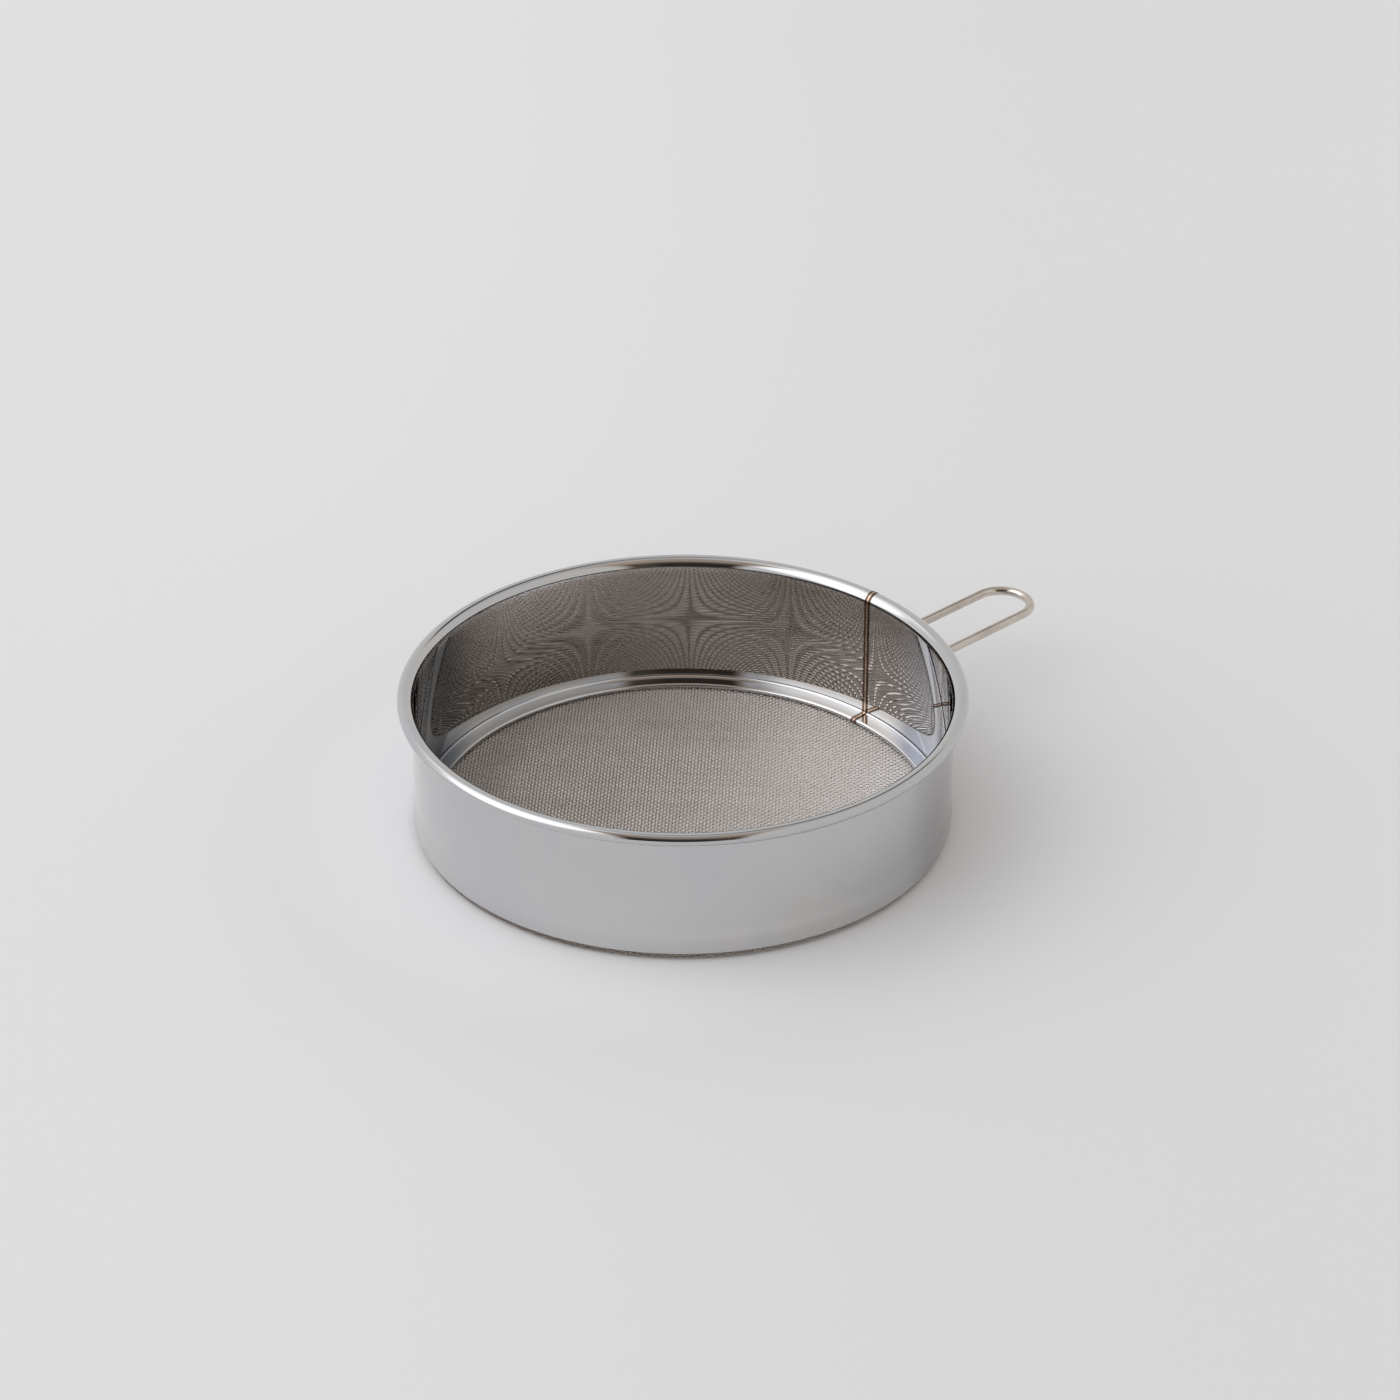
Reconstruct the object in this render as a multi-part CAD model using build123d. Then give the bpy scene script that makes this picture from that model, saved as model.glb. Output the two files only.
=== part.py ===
from build123d import *
import math
import os

# Flat-bottomed drum sieve of polished stainless sheet, with a long wire loop handle.
# Z is up. The origin is on the drum's axis, in the plane that the sieve stands on. The handle points along +X.
# All lengths are in millimetres and all angles in degrees.

# Drum: one rolled sheet, with a straight wall, an outward curl at the top and a flange at the bottom
drum_height = 54.6
drum_inner_radius = 99.1
drum_sheet = 0.35

# Curled rim: the wall bends out over a wide arc and a tighter outer one, with a flat underside
rim_width = 6.1
rim_radius = 2.4
rim_under_radius = 1.9
rim_tuck_clearance = 0.1

# Flange, and its inner lip that is rolled down onto the cloth and back under
flange_reach = 6.6
flange_corner_radius = 1.2
lip_radius = 1.0
lip_return = 1.4
lip_seam_stop_angle = 205.0

# Woven cloth: the flat part as a holed plate, and the hem that is turned up round the drum
cloth_thickness = 0.78
cloth_clearance = 0.02
net_pitch = 10.5
net_open_share = 0.685
net_turn = 43.9
net_margin = 1.2
hem_sheet = 0.3
hem_top_height = 9.6
hem_corner_radius = 2.4
hem_play = 0.05

# Outer band: plain hoop that pinches the hem at its foot and swells a little over it
band_sheet = 0.4
band_gap = 0.15
band_foot_height = 3.2
band_swell = 0.12
band_swell_height = 8.3
band_settle_height = 13.5
band_tuck = 1.0

# Handle: one wire, bent to a long U, its ends turned apart along the band
wire_radius = 1.74
handle_height = 24.05
handle_half_width = 11.25
handle_reach = 84.0
foot_bend_radius = 5.0
foot_length = 14.0
foot_gap = 0.1

# Spot welds that fill the hollow between the feet and the band
weld_height = 3.3
weld_depth = 0.95
weld_length = 3.6
weld_inset = 3.4
weld_play = 0.01

# Weld beads along the butt joints of the drum and of the band
seam_angle = 1.45
seam_width = 1.9
seam_height = 0.1
seam_play = 0.01
seam_end_clearance = 0.4


def point_at(centre, radius, degrees):
    """A point of a circle, from its centre, radius and angle."""
    turn = math.radians(degrees)
    return (centre[0] + radius * math.cos(turn), centre[1] + radius * math.sin(turn))


def arc(centre, radius, start, end):
    """An arc from one angle to another."""
    middle = (start + end) / 2
    return ThreePointArc(
        point_at(centre, radius, start),
        point_at(centre, radius, middle),
        point_at(centre, radius, end),
    )


def swept_angle(length, radius):
    """The angle that a length takes along a circle."""
    return math.degrees(length / radius)


def revolved(edges, start=0.0, span=360.0):
    """A solid turned about Z from an outline drawn in radius and height."""
    section = Rot(0, 0, start) * (Plane.XZ * make_face(Wire(edges)))
    return revolve(section, Axis.Z, span)


def write(shape, node):
    """One node, as a STEP file of its own."""
    shape.label = node
    export_step(shape, "parts/" + node + ".step")


# Radii and heights that follow from the sizes above
drum_outer_radius = drum_inner_radius + drum_sheet
hem_inner_radius = drum_outer_radius + hem_play
hem_outer_radius = hem_inner_radius + hem_sheet
hem_corner = (hem_outer_radius - hem_corner_radius, hem_corner_radius)
net_radius = hem_corner[0]

band_inner_radius = drum_outer_radius + band_gap
band_outer_radius = band_inner_radius + band_sheet
band_foot_radius = hem_outer_radius + hem_play
band_swell_radius = band_foot_radius + band_swell

rim_centre = (drum_inner_radius + rim_width - rim_radius, drum_height - rim_radius)
rim_under_centre = (rim_centre[0] + rim_radius - rim_under_radius, rim_centre[1])
rim_bottom = rim_centre[1] - rim_under_radius
rim_inner_radius = rim_width - rim_radius
rim_inner_centre = (rim_centre[0], drum_height - rim_inner_radius)

flange_bottom = cloth_thickness + cloth_clearance
flange_top = flange_bottom + 2 * lip_radius
lip_centre = (drum_inner_radius - flange_reach + lip_radius, flange_bottom + lip_radius)
flange_corner = (drum_inner_radius - flange_corner_radius, flange_top + flange_corner_radius)

foot_radius = band_outer_radius + foot_gap + wire_radius


def rim_line(inset):
    """The rim in section, from its tucked edge over the top to the wall, at a depth in the sheet."""
    underside = rim_bottom + inset
    tuck = band_outer_radius + rim_tuck_clearance
    return [
        Line((tuck, underside), (rim_under_centre[0], underside)),
        arc(rim_under_centre, rim_under_radius - inset, -90, 0),
        arc(rim_centre, rim_radius - inset, 0, 90),
        arc(rim_inner_centre, rim_inner_radius - inset, 90, 180),
    ]


def drum_line(inset, lip_stop):
    """The drum's section line from the tucked edge of the rim to an angle on the lip."""
    wall_radius = drum_inner_radius + inset
    flange_height = flange_top - inset
    return rim_line(inset) + [
        Line((wall_radius, rim_inner_centre[1]), (wall_radius, flange_corner[1])),
        arc(flange_corner, flange_corner_radius + inset, 0, -90),
        Line((flange_corner[0], flange_height), (lip_centre[0], flange_height)),
        arc(lip_centre, lip_radius - inset, 90, lip_stop),
    ]


def lip_edge(inset):
    """The last stretch of the lip, lying flat on the cloth."""
    height = flange_bottom + inset
    return Line((lip_centre[0], height), (lip_centre[0] + lip_return, height))


def closed(first, second):
    """The outline between two lines that run side by side."""
    start = Line(first[0] @ 0, second[0] @ 0)
    end = Line(first[-1] @ 1, second[-1] @ 1)
    return first + second + [start, end]


def make_inner_drum():
    """Rolled sheet with a curled rim and an inward flange."""
    shown = drum_line(0, 270) + [lip_edge(0)]
    hidden = drum_line(drum_sheet, 270) + [lip_edge(drum_sheet)]
    return revolved(closed(shown, hidden))


def make_drum_seam():
    """Weld bead over the rim, down the wall, across the flange and round its lip."""
    span = swept_angle(seam_width, drum_inner_radius)
    root = drum_line(-seam_play, lip_seam_stop_angle)
    crest = drum_line(-seam_play - seam_height, lip_seam_stop_angle)
    return revolved(closed(root, crest), seam_angle - span / 2, span)


def band_line(offset, top):
    """The band's section line from its foot up to a height, at a distance outside its inner face."""
    foot = (band_foot_radius + offset, band_foot_height)
    swell = (band_swell_radius + offset, band_swell_height)
    settle = (band_inner_radius + offset, band_settle_height)
    turning = ((swell[0] + settle[0]) / 2, (swell[1] + settle[1]) / 2)
    return [
        TangentArc(swell, foot, tangent=(0, -1)),
        TangentArc(swell, turning, tangent=(0, 1)),
        TangentArc(settle, turning, tangent=(0, -1)),
        Line(settle, (settle[0], top)),
    ]


def between(inner, outer):
    """The outline between two band lines, whose first arc runs down to the foot."""
    foot = Line(inner[0] @ 1, outer[0] @ 1)
    top = Line(inner[-1] @ 1, outer[-1] @ 1)
    return inner + outer + [foot, top]


def make_outer_band():
    """Plain hoop, caught under the rim and pinching the hem."""
    top = rim_bottom + band_tuck
    return revolved(between(band_line(0, top), band_line(band_sheet, top)))


def make_band_seam():
    """Weld bead up the outside of the band, from its foot to just under the rim."""
    span = swept_angle(seam_width, band_outer_radius)
    root = band_sheet + seam_play
    top = rim_bottom - seam_end_clearance
    outline = between(band_line(root, top), band_line(root + seam_height, top))
    return revolved(outline, seam_angle - span / 2, span)


def make_mesh_cloth():
    """Flat cloth as one holed plate, with bars through the centre."""
    opening = net_pitch * net_open_share
    reach = net_radius - net_margin
    count = math.ceil(reach / net_pitch)
    holes = []
    for column in range(-count, count):
        for row in range(-count, count):
            across = (column + 0.5) * net_pitch
            along = (row + 0.5) * net_pitch
            corner = math.hypot(abs(across) + opening / 2, abs(along) + opening / 2)
            if corner < reach:
                hole = Rot(0, 0, net_turn) * Pos(across, along, 0) * Rectangle(opening, opening)
                holes.append(hole.wire())
    plate = Face(Circle(net_radius).wire(), holes)
    print("openings in the net:", len(holes))
    return extrude(plate, cloth_thickness, dir=(0, 0, 1))


def make_mesh_hem():
    """Edge of the cloth, turned up round the drum's bottom corner and pressed between the two walls."""
    inner_radius = hem_corner_radius - cloth_thickness
    inner_corner = (hem_inner_radius - inner_radius, hem_corner[1])
    outline = [
        arc(hem_corner, hem_corner_radius, 270, 360),
        Line((hem_outer_radius, hem_corner[1]), (hem_outer_radius, hem_top_height)),
        Line((hem_outer_radius, hem_top_height), (hem_inner_radius, hem_top_height)),
        Line((hem_inner_radius, hem_top_height), (hem_inner_radius, inner_corner[1])),
        arc(inner_corner, inner_radius, 360, 270),
        Line((inner_corner[0], cloth_thickness), (net_radius, cloth_thickness)),
        Line((net_radius, cloth_thickness), (net_radius, 0)),
    ]
    return revolved(outline)


def foot_angles():
    """Where a foot of the handle starts and ends along the band."""
    centre_distance = foot_radius + foot_bend_radius
    start = math.degrees(math.asin((handle_half_width + foot_bend_radius) / centre_distance))
    return start, start + swept_angle(foot_length, foot_radius)


def make_handle_loop():
    """One wire: a foot along the band, a bend, a leg, the round tip, and the same back again."""
    start, end = foot_angles()
    bend_centre = point_at((0, 0), foot_radius + foot_bend_radius, start)
    tip_centre = (band_outer_radius + handle_reach - handle_half_width, 0)
    half = [
        arc((0, 0), foot_radius, end, start),
        arc(bend_centre, foot_bend_radius, 180 + start, 270),
        Line((bend_centre[0], handle_half_width), (tip_centre[0], handle_half_width)),
    ]
    tip = arc(tip_centre, handle_half_width, 90, -90)
    other = [edge.mirror(Plane.XZ) for edge in reversed(half)]
    path = Pos(0, 0, handle_height) * Wire(half + [tip] + other)
    section = Plane(origin=path @ 0, z_dir=path % 0) * Circle(wire_radius)
    solid = sweep(section, path)
    print("wire length:", round(path.length, 1), "volume share:", round(solid.volume / (path.length * section.area), 4))
    return solid


def make_handle_welds():
    """Four spot welds, two to a foot."""
    start, end = foot_angles()
    inset = swept_angle(weld_inset, foot_radius)
    span = swept_angle(weld_length, foot_radius)
    root = band_outer_radius + weld_play
    block = Pos(root + weld_depth / 2, handle_height) * Rectangle(weld_depth, weld_height)
    saddle = block - Pos(foot_radius, handle_height) * Circle(wire_radius + weld_play)
    spots = []
    for angle in (start + inset, end - inset, -start - inset, inset - end):
        section = Rot(0, 0, angle - span / 2) * (Plane.XZ * saddle)
        spots.append(revolve(section, Axis.Z, span))
    return Compound(children=spots)


os.makedirs("parts", exist_ok=True)
write(make_inner_drum(), "inner_drum")
write(make_outer_band(), "outer_band")
write(make_mesh_cloth(), "mesh_cloth")
write(make_mesh_hem(), "mesh_hem")
write(make_handle_loop(), "handle_loop")
write(make_handle_welds(), "handle_welds")
write(make_drum_seam(), "drum_seam")
write(make_band_seam(), "band_seam")
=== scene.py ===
import bpy
import math
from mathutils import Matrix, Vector


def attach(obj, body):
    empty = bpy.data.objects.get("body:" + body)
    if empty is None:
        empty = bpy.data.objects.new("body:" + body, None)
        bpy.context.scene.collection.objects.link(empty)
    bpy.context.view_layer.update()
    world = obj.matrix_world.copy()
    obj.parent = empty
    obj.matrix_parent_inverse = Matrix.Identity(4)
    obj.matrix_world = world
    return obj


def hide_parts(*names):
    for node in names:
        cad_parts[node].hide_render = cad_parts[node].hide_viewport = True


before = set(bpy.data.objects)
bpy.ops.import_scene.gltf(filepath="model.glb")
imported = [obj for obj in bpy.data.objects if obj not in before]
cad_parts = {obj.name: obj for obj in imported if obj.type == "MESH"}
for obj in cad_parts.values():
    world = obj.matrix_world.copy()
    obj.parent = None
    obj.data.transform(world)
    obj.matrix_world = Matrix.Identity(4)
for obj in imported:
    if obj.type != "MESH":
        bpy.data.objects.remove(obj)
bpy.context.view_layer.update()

MM = 0.001

# Woven cloth: plain weave of round wire, whose edge is turned up round the drum and pressed behind the band
wire_pitch = 1.27 * MM
wire_gauge = 0.39 * MM
wire_sides = 6
cloth_turn = math.radians(43.9)
flat_radius = 97.4 * MM
cloth_end_radius = 101.9 * MM
corner_radius = 2.01 * MM
squeeze_height = 0.9 * MM
squeeze_share = 0.8
cloth_strips = 4
warp_crimp = 0.5
weft_crimp = 1.0

# Drum section, with the sizes that its solid has
drum_height = 54.6 * MM
drum_inner_radius = 99.1 * MM
drum_sheet = 0.35 * MM
rim_width = 6.1 * MM
rim_radius = 2.4 * MM
rim_under_radius = 1.9 * MM
tuck_radius = 100.1 * MM
flange_reach = 6.6 * MM
flange_corner_radius = 1.2 * MM
flange_bottom = 0.8 * MM
lip_radius = 1.0 * MM
lip_return = 1.4 * MM
drum_turns = 360
under_steps = 10
outer_steps = 16
inner_steps = 20
corner_steps = 10
lip_steps = 20

# Seams, and the heat tint beside them
seam_turn = math.radians(1.45)
seam_half_width = 0.95 * MM
heat_full = 1.2 * MM
heat_end = 1.75 * MM
heat_colour = (0.14, 0.09, 0.065, 1.0)
bead_stops = [
    (0.0, (0.58, 0.48, 0.40, 1.0)),
    (0.25, (0.46, 0.35, 0.27, 1.0)),
    (0.45, (0.15, 0.085, 0.05, 1.0)),
    (1.0, (0.10, 0.055, 0.035, 1.0)),
]
bead_grain = 420.0
bead_wander = 0.35
bead_roughness = (0.12, 0.3)
bead_bump = 0.3
bead_bump_height = 0.05 * MM

# Polished sheet: its grain and tints, and where its wall, its two sides with painted shade and painted
# highlight, and its covered foot with painted shade begin and end
rolling_scale = (12.0, 12.0, 2600.0)
cloud_scale = 26.0
speck_scale = 900.0
lines_share = 0.5
clouds_share = 0.35
specks_share = 0.15
polish_span = (0.38, 0.62)
cloud_span = (0.35, 0.65)
warm_tint = (1.012, 1.0, 0.985)
cool_tint = (0.965, 0.97, 1.0)
side_start = 78.0 * MM
side_end = 93.0 * MM
side_top = 48.5 * MM
rim_start = 51.0 * MM
wall_middle = 27.5 * MM
wall_reach = 21.0 * MM
wall_edge = 2.5 * MM
# Where the painted shade on the drum's outer foot, behind the hem, begins and ends
foot_shade_start = drum_inner_radius + 0.13 * MM
foot_shade_end = drum_inner_radius + 0.25 * MM
foot_shade_full_height = 3.6 * MM
foot_shade_top = 4.2 * MM

drum_tone = 0.60
drum_roughness = (0.016, 0.040)
drum_wall = (0.485, 0.46, 0.435, 1.0)
# Painted shade on the drum's wall at its window side, and a painted bluish highlight on the wall at its far
# side
drum_side_shade = (0.25, 0.265, 0.285, 1.0)
drum_side_highlight = (0.60, 0.625, 0.68, 1.0)
# Painted shade on the drum's outer foot, seen between the hem wires
drum_foot_shade = (0.07, 0.06, 0.055, 1.0)
band_tone = 0.63
band_roughness = (0.05, 0.11)
# Painted shade on the band's far side from the window, where it reflects the shadowed table
band_side_shade = (0.475, 0.462, 0.465, 1.0)

# Drawn wire: its slow changes of tone, where painted light makes the cloth lighter, and the heights of the
# knuckles and of the painted shade on the hem
tone_scale = 60.0
tone_share = 0.6
fine_share = 0.4
tone_span = (0.36, 0.64)
fine_span = (0.3, 0.7)
# Painted light: the cloth grows lighter towards its far side from the window
lit_start = -50.0 * MM
lit_end = 65.0 * MM
lit_share = 0.97
knuckle_start = 0.62 * MM
knuckle_end = 0.70 * MM
# Painted shade on the hem that turns up under the band
hem_shade_start = 0.7 * MM
hem_shade_end = 1.5 * MM
hem_shade_share = 0.7
hem_shade = (0.56, 0.49, 0.435, 1.0)

cloth_roughness = (0.14, 0.26)
cloth_grain = 1500.0
# Warp and weft are the same wire: the warp's darker tone is painted shade and the weft's lighter tone painted
# light, for how each set lies to the light; the weft's knuckles take the warp's tone
warp_light = (0.43, 0.385, 0.35, 1.0)
warp_dark = (0.33, 0.295, 0.265, 1.0)
warp_lit = (0.88, 0.82, 0.785, 1.0)
weft_light = (0.81, 0.735, 0.67, 1.0)
weft_dark = (0.67, 0.60, 0.545, 1.0)
weft_lit = (1.0, 0.965, 0.93, 1.0)
weft_knuckle = (0.43, 0.385, 0.35, 1.0)
handle_light = (0.69, 0.625, 0.565, 1.0)
handle_dark = (0.57, 0.505, 0.45, 1.0)
handle_roughness = (0.04, 0.08)
handle_grain = 260.0
spot_light = (0.50, 0.45, 0.40, 1.0)
spot_dark = (0.30, 0.24, 0.19, 1.0)
spot_roughness = (0.2, 0.45)
spot_grain = 900.0

# Table top: its own tone, its painted shade away from the window and in front, and the painted pool of light
# at the sieve's foot
table_reach = 6.0
table_roughness = 0.9
table_cloud_scale = 3.0
table_light = (0.79, 0.788, 0.79, 1.0)
table_cloud = (0.775, 0.772, 0.775, 1.0)
table_shade = (0.67, 0.668, 0.668, 1.0)
table_light_pool = (0.92, 0.918, 0.925, 1.0)
window_span = (-200.0 * MM, 200.0 * MM)
window_share = 0.47
front_span = (-500.0 * MM, 500.0 * MM)
front_share = 0.25
patch_span = (105.0 * MM, 165.0 * MM)
patch_side_span = (-100.0 * MM, 40.0 * MM)
patch_share = 0.55

# Room: levels as shares of white, and patches by azimuth, elevation, inner and outer reach, and share
right_level = 0.70
left_level = 0.78
level_span = (-0.2, 0.6)
room_patches = [
    (75.0, 38.0, 20.0, 36.0, 2.25),
    (120.0, 52.0, 5.0, 30.0, 1.6),
    (85.0, 5.0, 5.0, 35.0, 1.3),
    (-155.0, 65.0, 5.0, 28.0, 0.75),
]
cool_light = (0.985, 0.99, 1.02, 1.0)
warm_light = (1.0, 0.985, 0.965, 1.0)
colour_span = (-0.3, 0.6)

# Doorway in front: its colour, and its levels low, high, overhead and on its right
door_light = (1.0, 0.82, 0.68, 1.0)
door_side_span = (0.31, 0.44)
door_front_span = (0.0, 0.06)
door_low = 0.028
door_high = 0.055
door_height_span = (0.2, 0.5)
door_overhead = 0.4
door_overhead_span = (0.55, 0.96)
door_right = 0.055
door_right_span = (-0.28, -0.1)

# Two dark ceiling beams that part from the middle: rise, spread, and how much wider the right one is
beam_rise = 0.364
beam_spread = 1.45
beam_widening = 4.0
beam_span = (0.02, 0.06)
beam_height_span = (0.55, 0.68)
beam_side_span = (-0.25, -0.02)
beam_right_shade = 0.97
beam_left_shade = 0.9

# Dull surfaces see a more even room than mirrors do
even_share = 0.65
even_base = 0.32
even_gain = 1.062

# Camera, in the part's own frame
camera_place = Vector((-958.95, -1021.18, 859.48)) * MM
camera_aim = Vector((4.58, -4.30, 49.09)) * MM
sensor_width = 36.0
lens_length = 112.89
view_end = 50.0

# Directions in the part's own frame: to the room's doorway and window, and to the part's window side and far
# side, along which painted shade and painted light are laid
door_turn = math.radians(226.54)
room_front = Vector((math.cos(door_turn), math.sin(door_turn), 0.0))
room_left = Vector((room_front.y, -room_front.x, 0.0))
window_turn = math.radians(136.5)
window_side = Vector((math.cos(window_turn), math.sin(window_turn), 0.0))
far_side = -1.0 * window_side


class Value:
    """A socket whose number can be used in Python arithmetic."""

    def __init__(self, builder, socket):
        self.builder = builder
        self.socket = socket

    def maths(self, operation, *others):
        return self.builder.node("ShaderNodeMath", {"operation": operation}, [self, *others])

    def __add__(self, other):
        return self.maths("ADD", other)

    __radd__ = __add__

    def __mul__(self, other):
        return self.maths("MULTIPLY", other)

    __rmul__ = __mul__

    def __sub__(self, other):
        return self.maths("SUBTRACT", other)

    def __rsub__(self, other):
        return self.builder.node("ShaderNodeMath", {"operation": "SUBTRACT"}, [other, self])

    def __truediv__(self, other):
        return self.maths("DIVIDE", other)

    def __abs__(self):
        return self.maths("ABSOLUTE")


class Builder:
    """Adds nodes to a tree, of a shader, a world or a shape."""

    def __init__(self, tree):
        self.tree = tree

    def node(self, kind, settings=None, inputs=None, output=0):
        """One node. Inputs is a list, or a dict by name or number, of numbers or Values."""
        made = self.tree.nodes.new(kind)
        for name, value in (settings or {}).items():
            if name == "stops":
                self.fill_ramp(made.color_ramp, value)
            else:
                setattr(made, name, value)
        given = inputs or {}
        pairs = given.items() if isinstance(given, dict) else enumerate(given)
        for name, value in pairs:
            if value is None:
                continue
            if isinstance(value, Value):
                self.tree.links.new(value.socket, made.inputs[name])
            else:
                made.inputs[name].default_value = value
        return Value(self, made.outputs[output]) if made.outputs else made

    def fill_ramp(self, ramp, stops):
        while len(ramp.elements) < len(stops):
            ramp.elements.new(1.0)
        for element, (place, colour) in zip(ramp.elements, stops):
            element.position = place
            element.color = colour

    def out(self, value, name):
        """Another output of the node that a Value comes from."""
        return Value(self, value.socket.node.outputs[name])

    def smooth(self, value, low, high, from_value=0.0, to_value=1.0):
        """Smooth rise from one value to the other between two limits."""
        return self.node(
            "ShaderNodeMapRange",
            {"interpolation_type": "SMOOTHSTEP"},
            {"Value": value, "From Min": low, "From Max": high, "To Min": from_value, "To Max": to_value},
        )

    def mix(self, factor, first, second):
        """Colour between two colours."""
        made = self.tree.nodes.new("ShaderNodeMix")
        made.data_type = "RGBA"
        for socket, value in ((made.inputs[0], factor), (made.inputs[6], first), (made.inputs[7], second)):
            if isinstance(value, Value):
                self.tree.links.new(value.socket, socket)
            else:
                socket.default_value = value
        return Value(self, made.outputs[2])

    def split(self, vector):
        """The three parts of a vector."""
        parts = self.node("ShaderNodeSeparateXYZ", None, [vector])
        return parts, self.out(parts, "Y"), self.out(parts, "Z")


def new_material(name):
    material = bpy.data.materials.new(name)
    material.use_nodes = True
    material.node_tree.nodes.clear()
    return material, Builder(material.node_tree)


def finish_surface(build, inputs):
    """The metal's shader and the material's output."""
    shader = build.node("ShaderNodeBsdfPrincipled", None, {"Metallic": 1.0, **inputs})
    build.node("ShaderNodeOutputMaterial", None, {"Surface": shader})


def facing(parts, direction):
    """How far a place or a ray lies along a direction."""
    x, y, z = parts
    return x * direction.x + y * direction.y + z * direction.z


def from_seam(build, parts):
    """Distance of a place from the middle of the seam, which lies on the side of the handle."""
    across = abs(parts[1] * math.cos(seam_turn) - parts[0] * math.sin(seam_turn))
    return across + build.smooth(parts[0], 0.0, seam_half_width, 1.0, 0.0)


def on_side(build, parts, direction):
    """Share of painted shade and painted highlight that shows below the rim, at one side of the part."""
    side = build.smooth(facing(parts, direction), side_start, side_end)
    return side * build.smooth(parts[2], side_top, rim_start, 1.0, 0.0)


def tinted(tone, tint):
    """A colour from a level and the shares of red, green and blue in it."""
    return (*(tone * share for share in tint), 1.0)


def polished_steel(name, tone, roughness, shade_direction, painted_shade, wall=None, highlight=None, foot_shade=None):
    """Bright rolled sheet: rolling lines, cloudy polish, duller wall, painted shade on one side and a painted
    highlight on the other, painted shade on its covered foot, and heat tint at the weld.
    """
    material, build = new_material(name)
    place = build.node("ShaderNodeTexCoord", None, None, "Object")
    stretched = build.node("ShaderNodeMapping", None, {"Vector": place, "Scale": rolling_scale})
    lines = build.node("ShaderNodeTexNoise", None, {"Vector": stretched, "Scale": 1.0, "Detail": 3.0})
    clouds = build.node("ShaderNodeTexNoise", None, {"Vector": place, "Scale": cloud_scale, "Detail": 4.0})
    specks = build.node("ShaderNodeTexNoise", None, {"Vector": place, "Scale": speck_scale, "Detail": 2.0})
    polish = lines * lines_share + clouds * clouds_share + specks * specks_share
    colour = build.mix(build.smooth(clouds, *cloud_span), tinted(tone, warm_tint), tinted(tone, cool_tint))
    parts = build.split(place)
    if wall:
        off_middle = abs(parts[2] - wall_middle)
        on_wall = build.smooth(off_middle, wall_reach, wall_reach + wall_edge, 1.0, 0.0)
        colour = build.mix(on_wall, colour, wall)
    # Painted shade on one side below the rim; on the drum, a painted highlight on the other side
    colour = build.mix(on_side(build, parts, shade_direction), colour, painted_shade)
    if highlight:
        colour = build.mix(on_side(build, parts, -1.0 * shade_direction), colour, highlight)
    # Painted shade on the drum's outer foot, in the recess behind the hem wires
    if foot_shade:
        reach = build.node("ShaderNodeVectorMath", {"operation": "LENGTH"}, [place], "Value")
        foot_shaded = build.smooth(reach, foot_shade_start, foot_shade_end)
        foot_shaded = foot_shaded * build.smooth(parts[2], foot_shade_full_height, foot_shade_top, 1.0, 0.0)
        colour = build.mix(foot_shaded, colour, foot_shade)
    heat = build.smooth(from_seam(build, parts), heat_full, heat_end, 1.0, 0.0)
    colour = build.mix(heat, colour, heat_colour)
    finish_surface(build, {"Base Color": colour, "Roughness": build.smooth(polish, *polish_span, *roughness)})
    return material


def wire_steel(name, light, dark, roughness, grain, lit=None, knuckle=None):
    """Drawn wire with slow changes of tone. Cloth gets painted light on its far side from the window and
    painted shade on its hem, and its weft knuckles take the warp's darker painted tone.
    """
    material, build = new_material(name)
    place = build.node("ShaderNodeTexCoord", None, None, "Object")
    tone = build.node("ShaderNodeTexNoise", None, {"Vector": place, "Scale": tone_scale, "Detail": 3.0})
    fine = build.node("ShaderNodeTexNoise", None, {"Vector": place, "Scale": grain, "Detail": 2.0})
    mixed = tone * tone_share + fine * fine_share
    colour = build.mix(build.smooth(mixed, *tone_span), dark, light)
    parts = build.split(place)
    height = parts[2]
    # The weft's knuckles take the warp's painted shade
    if knuckle:
        colour = build.mix(build.smooth(height, knuckle_start, knuckle_end), colour, knuckle)
    if lit:
        # Painted light towards the cloth's far side from the window
        along = facing(parts, far_side)
        colour = build.mix(build.smooth(along, lit_start, lit_end, 0.0, lit_share), colour, lit)
        # Painted shade on the hem that turns up under the band
        colour = build.mix(build.smooth(height, hem_shade_start, hem_shade_end, 0.0, hem_shade_share), colour, hem_shade)
    finish_surface(build, {"Base Color": colour, "Roughness": build.smooth(fine, *fine_span, *roughness)})
    return material


def weld_bead(name):
    """Ground weld with a pale middle and brown heat tint along both edges."""
    material, build = new_material(name)
    place = build.node("ShaderNodeTexCoord", None, None, "Object")
    across = from_seam(build, build.split(place)) / seam_half_width
    wander = build.node("ShaderNodeTexNoise", None, {"Vector": place, "Scale": bead_grain, "Detail": 3.0})
    edge = across + (wander - 0.5) * bead_wander
    tint = build.node("ShaderNodeValToRGB", {"stops": bead_stops}, [edge])
    bump = build.node(
        "ShaderNodeBump", None, {"Strength": bead_bump, "Distance": bead_bump_height, "Height": wander}
    )
    roughness = build.smooth(wander, *fine_span, *bead_roughness)
    finish_surface(build, {"Base Color": tint, "Roughness": roughness, "Normal": bump})
    return material


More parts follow.
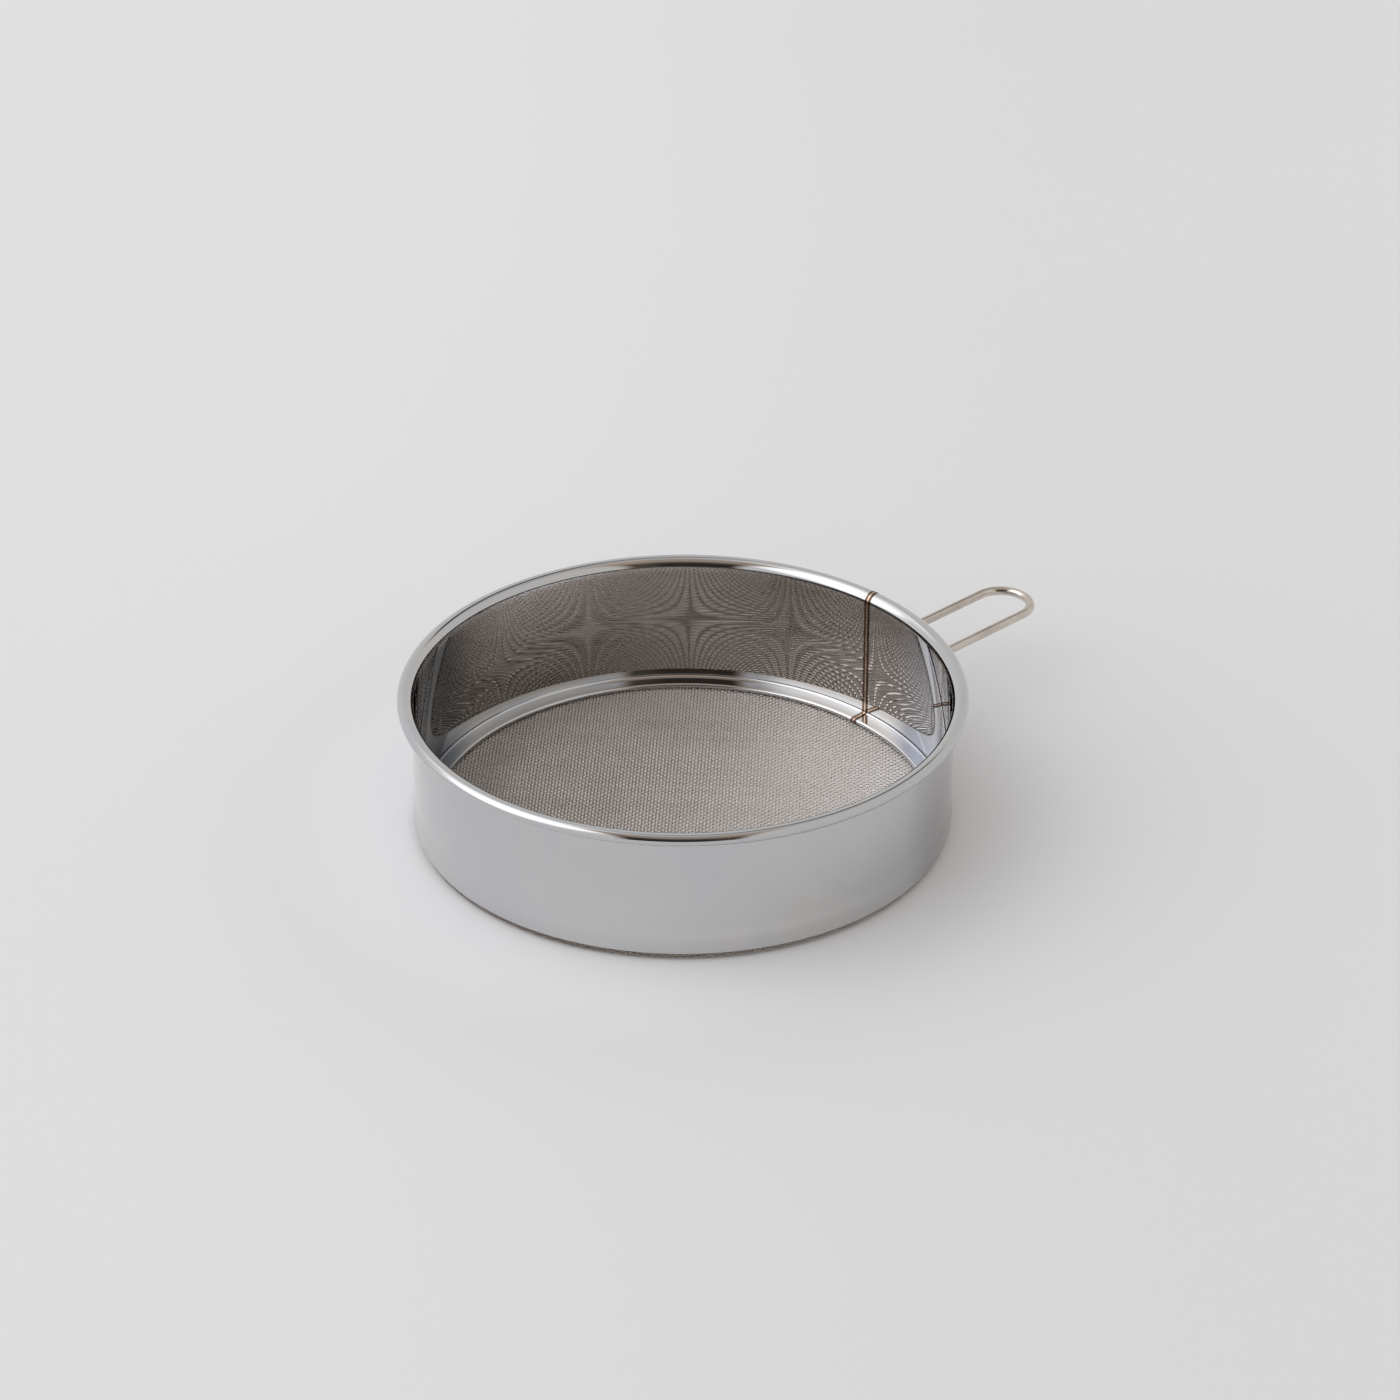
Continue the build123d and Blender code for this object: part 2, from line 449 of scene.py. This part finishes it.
def weaving_tree():
    """Shape tree that lays one set of parallel crimped wires and turns their ends up round the drum."""
    tree = bpy.data.node_groups.new("woven_wires", "GeometryNodeTree")
    face = tree.interface
    face.new_socket("Geometry", in_out="INPUT", socket_type="NodeSocketGeometry")
    for name in ("Pitch", "Gauge", "First Row", "Flat Radius", "Corner Radius", "End Radius", "Turn", "Side"):
        face.new_socket(name, in_out="INPUT", socket_type="NodeSocketFloat")
    for name in ("Rows", "Steps", "Sides"):
        face.new_socket(name, in_out="INPUT", socket_type="NodeSocketInt")
    for name in ("Squeeze Height", "Squeeze Share", "Crimp"):
        face.new_socket(name, in_out="INPUT", socket_type="NodeSocketFloat")
    face.new_socket("Material", in_out="INPUT", socket_type="NodeSocketMaterial")
    face.new_socket("Geometry", in_out="OUTPUT", socket_type="NodeSocketGeometry")
    build = Builder(tree)
    first = build.node("NodeGroupInput")
    given = {item.name: build.out(first, item.name) for item in face.items_tree if item.in_out == "INPUT"}
    pitch = given["Pitch"]
    half_step = pitch * 0.5

    rows = build.node(
        "GeometryNodeMeshLine",
        None,
        {
            "Count": given["Rows"],
            "Start Location": build.node("ShaderNodeCombineXYZ", None, {"Y": given["First Row"]}),
            "Offset": build.node("ShaderNodeCombineXYZ", None, {"Y": pitch}),
        },
    )
    start = pitch * 0.25 - half_step * given["Steps"] * 0.5
    wire = build.node(
        "GeometryNodeMeshLine",
        None,
        {
            "Count": given["Steps"],
            "Start Location": build.node("ShaderNodeCombineXYZ", None, {"X": start}),
            "Offset": build.node("ShaderNodeCombineXYZ", None, {"X": half_step}),
        },
    )
    laid = build.node("GeometryNodeInstanceOnPoints", None, {"Points": rows, "Instance": wire})
    laid = build.node("GeometryNodeRealizeInstances", None, {"Geometry": laid})

    place = build.node("GeometryNodeInputPosition")
    x, y = build.split(place)[:2]
    distance = build.node("ShaderNodeVectorMath", {"operation": "LENGTH"}, [place], "Value")
    past_end = build.node(
        "FunctionNodeCompare", {"operation": "GREATER_THAN"}, {"A": distance, "B": given["End Radius"]}
    )
    laid = build.node(
        "GeometryNodeDeleteGeometry", {"domain": "POINT"}, {"Geometry": laid, "Selection": past_end}
    )

    crossing = (x / pitch).maths("ROUND") + (y / pitch).maths("ROUND")
    parity = crossing.maths("FLOORED_MODULO", 2.0)
    lift = (1.0 - parity * 2.0) * given["Side"] * given["Crimp"] * given["Gauge"] * 0.5
    beyond = (distance - given["Flat Radius"]).maths("MAXIMUM", 0.0)
    angle = (beyond / given["Corner Radius"]).maths("MINIMUM", math.pi / 2)
    rise = (beyond - given["Corner Radius"] * (math.pi / 2)).maths("MAXIMUM", 0.0)
    squeeze = (rise / given["Squeeze Height"]).maths("MINIMUM", 1.0) * given["Squeeze Share"]
    lift = lift * (1.0 - squeeze)
    sine = angle.maths("SINE")
    cosine = angle.maths("COSINE")
    ring = distance.maths("MINIMUM", given["Flat Radius"]) + (given["Corner Radius"] - lift) * sine
    height = given["Gauge"] + given["Corner Radius"] * (1.0 - cosine) + rise + lift * cosine
    grow = ring / distance
    laid = build.node(
        "GeometryNodeSetPosition",
        None,
        {
            "Geometry": laid,
            "Position": build.node("ShaderNodeCombineXYZ", None, [x * grow, y * grow, height]),
        },
    )
    curve = build.node("GeometryNodeMeshToCurve", None, {"Mesh": laid})
    profile = build.node(
        "GeometryNodeCurvePrimitiveCircle",
        None,
        {"Resolution": given["Sides"], "Radius": given["Gauge"] * 0.5},
    )
    solid = build.node(
        "GeometryNodeCurveToMesh", None, {"Curve": curve, "Profile Curve": profile, "Fill Caps": True}
    )
    solid = build.node(
        "GeometryNodeTransform",
        None,
        {"Geometry": solid, "Rotation": build.node("ShaderNodeCombineXYZ", None, {"Z": given["Turn"]})},
    )
    solid = build.node("GeometryNodeSetShadeSmooth", None, {"Geometry": solid})
    solid = build.node("GeometryNodeRealizeInstances", None, {"Geometry": solid})
    solid = build.node(
        "GeometryNodeSetMaterial", None, {"Geometry": solid, "Material": given["Material"]}
    )
    build.node("NodeGroupOutput", None, {"Geometry": solid})
    return tree


def shaped(name, tree, values):
    """A plain mesh object made by a shape tree, with its inputs given by name."""
    holder = bpy.data.objects.new(name, bpy.data.meshes.new(name + "_start"))
    bpy.context.scene.collection.objects.link(holder)
    modifier = holder.modifiers.new("shape", "NODES")
    modifier.node_group = tree
    for item in tree.interface.items_tree:
        if item.in_out == "INPUT" and item.name in values:
            modifier[item.identifier] = values[item.name]
    bpy.context.view_layer.update()
    graph = bpy.context.evaluated_depsgraph_get()
    mesh = bpy.data.meshes.new_from_object(holder.evaluated_get(graph), depsgraph=graph)
    mesh.name = name
    holder.modifiers.clear()
    holder.data = mesh
    return holder


def make_cloth(warp_finish, weft_finish):
    """Warp and weft of the cloth, in strips of neighbouring wires."""
    tree = weaving_tree()
    half_rows = math.ceil(cloth_end_radius / wire_pitch)
    rows = 2 * half_rows + 1
    steps = 4 * (half_rows + 1)
    sets = [
        ("warp", cloth_turn, 1.0, warp_crimp, warp_finish),
        ("weft", cloth_turn + math.pi / 2, -1.0, weft_crimp, weft_finish),
    ]
    pieces = []
    for name, turn, side, crimp, material in sets:
        for strip in range(cloth_strips):
            first = rows * strip // cloth_strips
            last = rows * (strip + 1) // cloth_strips
            pieces.append(
                shaped(
                    f"cloth_{name}_{strip + 1}",
                    tree,
                    {
                        "Pitch": wire_pitch,
                        "Gauge": wire_gauge,
                        "First Row": (first - half_rows) * wire_pitch,
                        "Flat Radius": flat_radius,
                        "Corner Radius": corner_radius,
                        "End Radius": cloth_end_radius,
                        "Turn": turn,
                        "Side": side,
                        "Rows": last - first,
                        "Steps": steps,
                        "Sides": wire_sides,
                        "Squeeze Height": squeeze_height,
                        "Squeeze Share": squeeze_share,
                        "Crimp": crimp,
                        "Material": material,
                    },
                )
            )
    return pieces


def bend(centre, radius, start, end, steps, side=1.0):
    """Points of an arc in section, each with its normal. Side is -1 where the centre is on the open side."""
    found = []
    for step in range(steps + 1):
        turn = math.radians(start + (end - start) * step / steps)
        way = Vector((math.cos(turn), math.sin(turn)))
        found.append((centre + radius * way, side * way))
    return found


def drum_side(inset):
    """One face of the drum's sheet in section, from the rim's tucked edge to the end of the lip."""
    rim_centre = Vector((drum_inner_radius + rim_width - rim_radius, drum_height - rim_radius))
    under_centre = rim_centre + Vector((rim_radius - rim_under_radius, 0.0))
    inner_bend = rim_width - rim_radius
    bend_centre = Vector((rim_centre.x, drum_height - inner_bend))
    flange_top = flange_bottom + 2 * lip_radius
    corner = Vector((drum_inner_radius - flange_corner_radius, flange_top + flange_corner_radius))
    lip = Vector((drum_inner_radius - flange_reach + lip_radius, flange_bottom + lip_radius))
    found = [(Vector((tuck_radius, under_centre.y - rim_under_radius + inset)), Vector((0.0, -1.0)))]
    found += bend(under_centre, rim_under_radius - inset, -90.0, 0.0, under_steps)
    found += bend(rim_centre, rim_radius - inset, 0.0, 90.0, outer_steps)[1:]
    found += bend(bend_centre, inner_bend - inset, 90.0, 180.0, inner_steps)[1:]
    found += bend(corner, flange_corner_radius + inset, 0.0, -90.0, corner_steps, -1.0)
    found += bend(lip, lip_radius - inset, 90.0, 270.0, lip_steps)
    end = found[-1]
    found.append((end[0] + Vector((lip_return, 0.0)), end[1]))
    return found


def make_drum(material):
    """Drum turned from its section, with the section's own normals, so that its mirror lines run clean."""
    shown = drum_side(0.0)
    hidden = [(place, -normal) for place, normal in reversed(drum_side(drum_sheet))]
    section = shown + hidden
    turns = [2 * math.pi * turn / drum_turns for turn in range(drum_turns)]
    ring = [(math.cos(turn), math.sin(turn)) for turn in turns]
    points = [(place.x * c, place.x * s, place.y) for place, _ in section for c, s in ring]
    normals = [(normal.x * c, normal.x * s, normal.y) for _, normal in section for c, s in ring]
    faces = []
    for row in range(len(section)):
        low = (row + 1) % len(section) * drum_turns
        high = row * drum_turns
        for turn in range(drum_turns):
            after = (turn + 1) % drum_turns
            faces.append((high + turn, high + after, low + after, low + turn))
    mesh = bpy.data.meshes.new("drum_shell")
    mesh.from_pydata(points, [], faces)
    mesh.shade_smooth()
    mesh.normals_split_custom_set_from_vertices(normals)
    mesh.materials.append(material)
    drum = bpy.data.objects.new("drum_shell", mesh)
    bpy.context.scene.collection.objects.link(drum)
    return drum


def dress(node, material):
    """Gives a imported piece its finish."""
    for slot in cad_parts[node].material_slots:
        slot.material = material


def make_floor():
    """Pale seamless table top, with painted shade away from the window and in front, and a painted pool of
    light at the sieve's foot.
    """
    material, build = new_material("pale_table")
    place = build.node("ShaderNodeTexCoord", None, None, "Object")
    cloud = build.node(
        "ShaderNodeTexNoise", None, {"Vector": place, "Scale": table_cloud_scale, "Detail": 3.0}
    )
    colour = build.mix(cloud, table_light, table_cloud)
    parts = build.split(place)
    to_window = facing(parts, room_left)
    # Painted shade: the table grows darker away from the window and towards the front
    painted_shade = build.smooth(to_window, *window_span, window_share, 0.0)
    painted_shade = painted_shade + build.smooth(facing(parts, room_front), *front_span, 0.0, front_share)
    colour = build.mix(painted_shade, colour, table_shade)
    # Painted pool of light on the table at the sieve's foot, on the window side
    near = build.node("ShaderNodeVectorMath", {"operation": "LENGTH"}, [place], "Value")
    near = build.smooth(near, *patch_span, patch_share, 0.0) * build.smooth(to_window, *patch_side_span)
    colour = build.mix(near, colour, table_light_pool)
    shader = build.node(
        "ShaderNodeBsdfPrincipled", None, {"Base Color": colour, "Roughness": table_roughness}
    )
    build.node("ShaderNodeOutputMaterial", None, {"Surface": shader})
    mesh = bpy.data.meshes.new("table_top")
    corners = [
        (-table_reach, -table_reach, 0),
        (table_reach, -table_reach, 0),
        (table_reach, table_reach, 0),
        (-table_reach, table_reach, 0),
    ]
    mesh.from_pydata(corners, [], [(0, 1, 2, 3)])
    floor = bpy.data.objects.new("table_top", mesh)
    bpy.context.scene.collection.objects.link(floor)
    mesh.materials.append(material)


def heading(azimuth, elevation):
    """A direction by its angles in degrees: from the room's front towards the left, and above the level."""
    turn = math.radians(azimuth)
    lift = math.radians(elevation)
    level = room_front * math.cos(turn) + room_left * math.sin(turn)
    return level * math.cos(lift) + Vector((0, 0, math.sin(lift)))


def light_room():
    """Pale room, with a large soft window on the left, dark ceiling beams and a dark doorway in front."""
    world = bpy.data.worlds.new("room")
    bpy.context.scene.world = world
    world.use_nodes = True
    world.node_tree.nodes.clear()
    build = Builder(world.node_tree)
    way = build.node("ShaderNodeTexCoord", None, None, "Generated")
    parts = build.split(way)
    height = parts[2]
    to_left = facing(parts, room_left)
    to_front = facing(parts, room_front)
    to_back = -1.0 * to_front
    level = build.smooth(to_left, *level_span, right_level, left_level)
    for azimuth, elevation, inner, outer, share in room_patches:
        near = facing(parts, heading(azimuth, elevation))
        patch = build.smooth(near, math.cos(math.radians(outer)), math.cos(math.radians(inner)))
        level = level * (1.0 + patch * (share - 1.0))
    off_beam = abs(to_back - height * beam_rise - abs(to_left) * beam_spread)
    off_beam = off_beam / (1.0 + build.smooth(to_left, *beam_side_span, beam_widening, 0.0))
    beam = build.smooth(off_beam, *beam_span, 1.0, 0.0) * build.smooth(height, *beam_height_span)
    beam = beam * build.smooth(to_left, *beam_side_span, beam_right_shade, beam_left_shade)
    level = level * (1.0 - beam)
    path = build.node("ShaderNodeLightPath")
    glossy = build.out(path, "Is Glossy Ray")
    door = build.smooth(abs(to_left), *door_side_span, 1.0, 0.0)
    door = door * build.smooth(to_front, *door_front_span) * glossy
    door_level = build.smooth(height, *door_height_span, door_low, door_high)
    door_level = door_level + build.smooth(height, *door_overhead_span, 0.0, door_overhead)
    door_level = door_level + build.smooth(to_left, *door_right_span, door_right, 0.0)
    level = level * (1.0 - door) + door_level * door
    even = level * even_share + even_base
    level = level * glossy + even * (1.0 - glossy) * even_gain
    colour = build.mix(build.smooth(to_left, *colour_span), warm_light, cool_light)
    colour = build.mix(door, colour, door_light)
    background = build.node("ShaderNodeBackground", None, {"Color": colour, "Strength": level})
    build.node("ShaderNodeOutputWorld", None, {"Surface": background})


def place_camera():
    camera = bpy.data.cameras.new("view")
    camera.sensor_width = sensor_width
    camera.lens = lens_length
    camera.clip_end = view_end
    holder = bpy.data.objects.new("view", camera)
    holder.location = camera_place
    holder.rotation_euler = (camera_aim - camera_place).to_track_quat("-Z", "Y").to_euler()
    bpy.context.scene.collection.objects.link(holder)
    bpy.context.scene.camera = holder


bpy.context.scene.view_settings.view_transform = "Standard"
drum_finish = polished_steel(
    "polished_drum", drum_tone, drum_roughness, window_side, drum_side_shade, drum_wall, drum_side_highlight, drum_foot_shade
)
band_finish = polished_steel("polished_band", band_tone, band_roughness, far_side, band_side_shade)
warp_steel = wire_steel("warp_wire", warp_light, warp_dark, cloth_roughness, cloth_grain, warp_lit)
weft_steel = wire_steel(
    "weft_wire", weft_light, weft_dark, cloth_roughness, cloth_grain, weft_lit, weft_knuckle
)
handle_finish = wire_steel("handle_wire", handle_light, handle_dark, handle_roughness, handle_grain)
weld_finish = weld_bead("weld_tint")
spot_finish = wire_steel("spot_weld", spot_light, spot_dark, spot_roughness, spot_grain)

dress("outer_band", band_finish)
dress("handle_loop", handle_finish)
dress("handle_welds", spot_finish)
dress("drum_seam", weld_finish)
dress("band_seam", weld_finish)

drum = make_drum(drum_finish)
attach(drum, "root")
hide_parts("inner_drum")

for piece in make_cloth(warp_steel, weft_steel):
    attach(piece, "root")
    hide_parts("mesh_cloth", "mesh_hem")

make_floor()
light_room()
place_camera()
